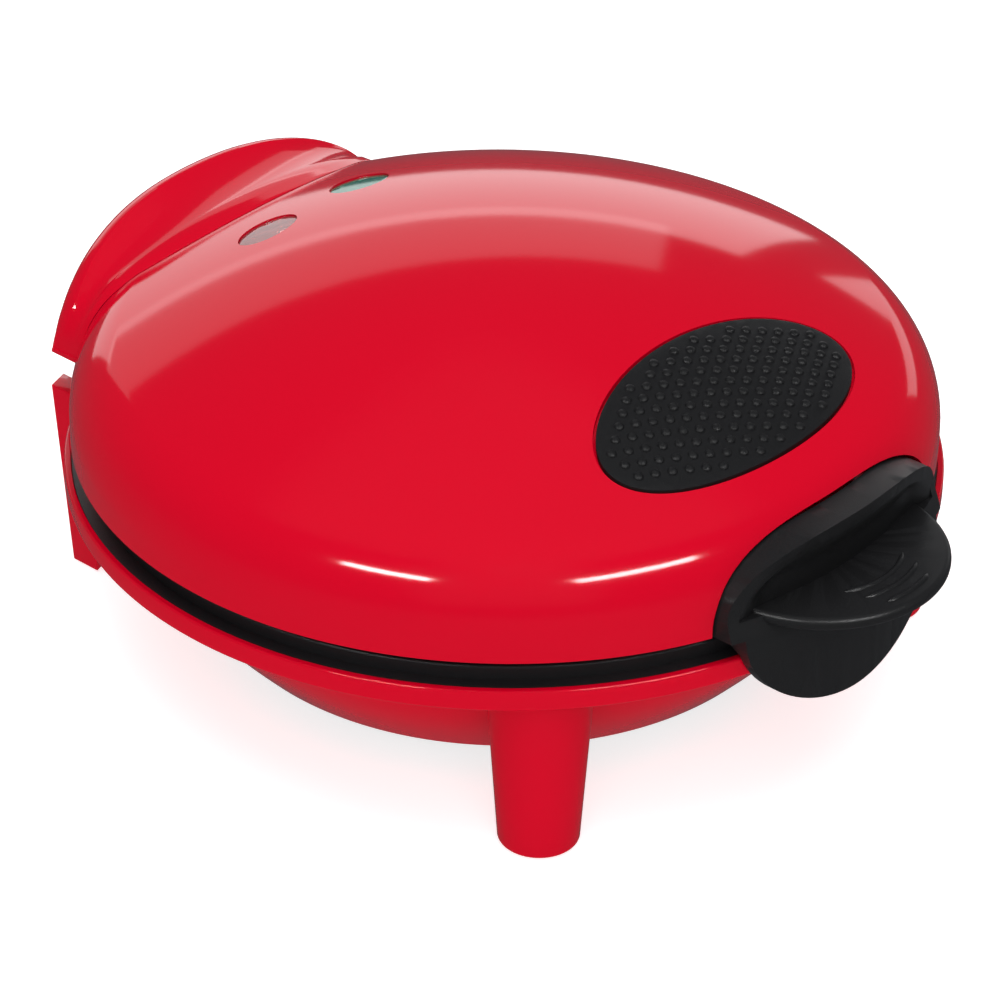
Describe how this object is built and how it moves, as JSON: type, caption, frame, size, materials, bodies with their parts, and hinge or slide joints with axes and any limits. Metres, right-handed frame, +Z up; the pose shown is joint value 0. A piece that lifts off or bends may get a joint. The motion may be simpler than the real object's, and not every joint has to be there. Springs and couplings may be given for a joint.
{
  "type": "donut maker",
  "caption": "Round red countertop donut maker with a domed hinged lid, black front latch, textured grip pad, two lamp windows and ring-shaped baking wells.",
  "frame": {"origin": "centre of the bounding box's footprint, at the level of the counter", "axes": "+Z up, -Y towards the latch, +Y towards the hinge, +X to the right seen from the front"},
  "size_m": [0.248, 0.2788, 0.117],
  "materials": {
    "red_shell": "high gloss red",
    "latch_plastic": "satin black",
    "dark_plastic": "matte black",
    "soft_rubber": "matte black",
    "non_stick": "non-stick coating",
    "steel": "plain",
    "bright_pin": "bright",
    "reflector_sheet": "plain sheet",
    "insulator": "ivory",
    "power_lens": "tinted clear",
    "ready_lens": "tinted clear",
    "lamp_glass": "clear"
  },
  "bodies": {
    "base": {"base_housing": "red_shell", "bottom_cover": "dark_plastic", "cover_screw_1": "steel", "cover_screw_2": "steel", "cover_screw_3": "steel", "front_leg_left": "red_shell", "front_leg_right": "red_shell", "front_foot_pad_left": "soft_rubber", "front_foot_pad_right": "soft_rubber", "rear_foot_pad_left": "soft_rubber", "rear_foot_pad_right": "soft_rubber", "hinge_pin_left": "bright_pin", "hinge_pin_right": "bright_pin", "rear_stand": "red_shell", "cord_bushing": "soft_rubber", "base_hinge_bracket": "dark_plastic", "lower_plate": "non_stick", "lower_heater": "steel", "lower_reflector": "reflector_sheet", "thermostat": "steel", "thermal_fuse": "insulator", "terminal_block": "insulator", "lower_plate_screw_1": "steel", "lower_plate_screw_2": "steel", "lower_plate_screw_3": "steel"},
    "lid": {"lid_shell": "red_shell", "hinge_cover": "red_shell", "lid_hinge_bracket": "dark_plastic", "grip_pad": "soft_rubber", "upper_plate": "non_stick", "upper_heater": "steel", "upper_reflector": "reflector_sheet", "power_lamp_lens": "power_lens", "ready_lamp_lens": "ready_lens", "power_lamp": "lamp_glass", "ready_lamp": "lamp_glass", "lamp_holder": "dark_plastic", "upper_plate_screw_1": "steel", "upper_plate_screw_2": "steel", "upper_plate_screw_3": "steel", "latch_pin": "bright_pin", "latch_spring": "steel"},
    "latch": {"latch": "latch_plastic"}
  },
  "joints": [
    {"name": "lid_hinge", "type": "hinge", "parent": "base", "child": "lid", "pos_m": [0, 0.13505, 0.064], "axis": [-1, 0, 0], "range_deg": [0, 105]},
    {"name": "latch_pivot", "type": "hinge", "parent": "lid", "child": "latch", "pos_m": [0, -0.10685, 0.077], "axis": [-1, 0, 0], "range_deg": [0, 20], "stiffness_Nm_per_rad": 0.1, "springref_deg": -11.46}
  ]
}
